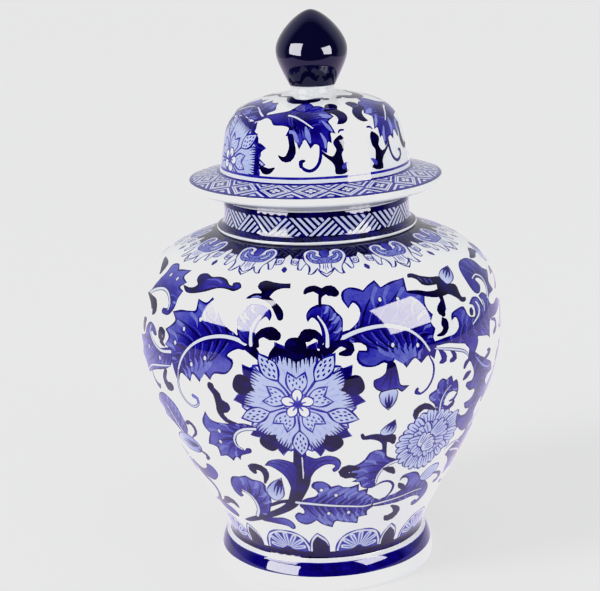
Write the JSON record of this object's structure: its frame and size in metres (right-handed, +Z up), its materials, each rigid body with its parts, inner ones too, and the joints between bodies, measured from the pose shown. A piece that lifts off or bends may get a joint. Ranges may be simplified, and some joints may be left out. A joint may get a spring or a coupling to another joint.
{
  "type": "ginger jar",
  "caption": "Blue-and-white porcelain ginger jar: high-shouldered body on a ring foot, short banded neck, and a domed lid with a wide flange and a dark bud finial that lifts straight off.",
  "frame": {"origin": "centre of the foot, on the surface that the jar stands on", "axes": "+Z up the axis of the jar, through the tip of the finial; -Y towards the side with the large open flower"},
  "size_m": [0.198, 0.198, 0.305],
  "materials": {
    "painted_porcelain": "polished",
    "white_porcelain": "polished",
    "bare_porcelain": "matte",
    "cobalt_glaze": "polished"
  },
  "bodies": {
    "jar": {"foot_ring": "painted_porcelain", "jar_body": "painted_porcelain", "neck_ring": "painted_porcelain"},
    "lid": {"locating_collar": "bare_porcelain", "lid_flange": "painted_porcelain", "lid_dome": "painted_porcelain", "finial_seat": "white_porcelain", "finial_bud": "cobalt_glaze"}
  },
  "joints": [
    {"name": "lid_lift", "type": "slide", "parent": "jar", "child": "lid", "axis": [0, 0, 1], "range_m": [0, 0.1]}
  ]
}
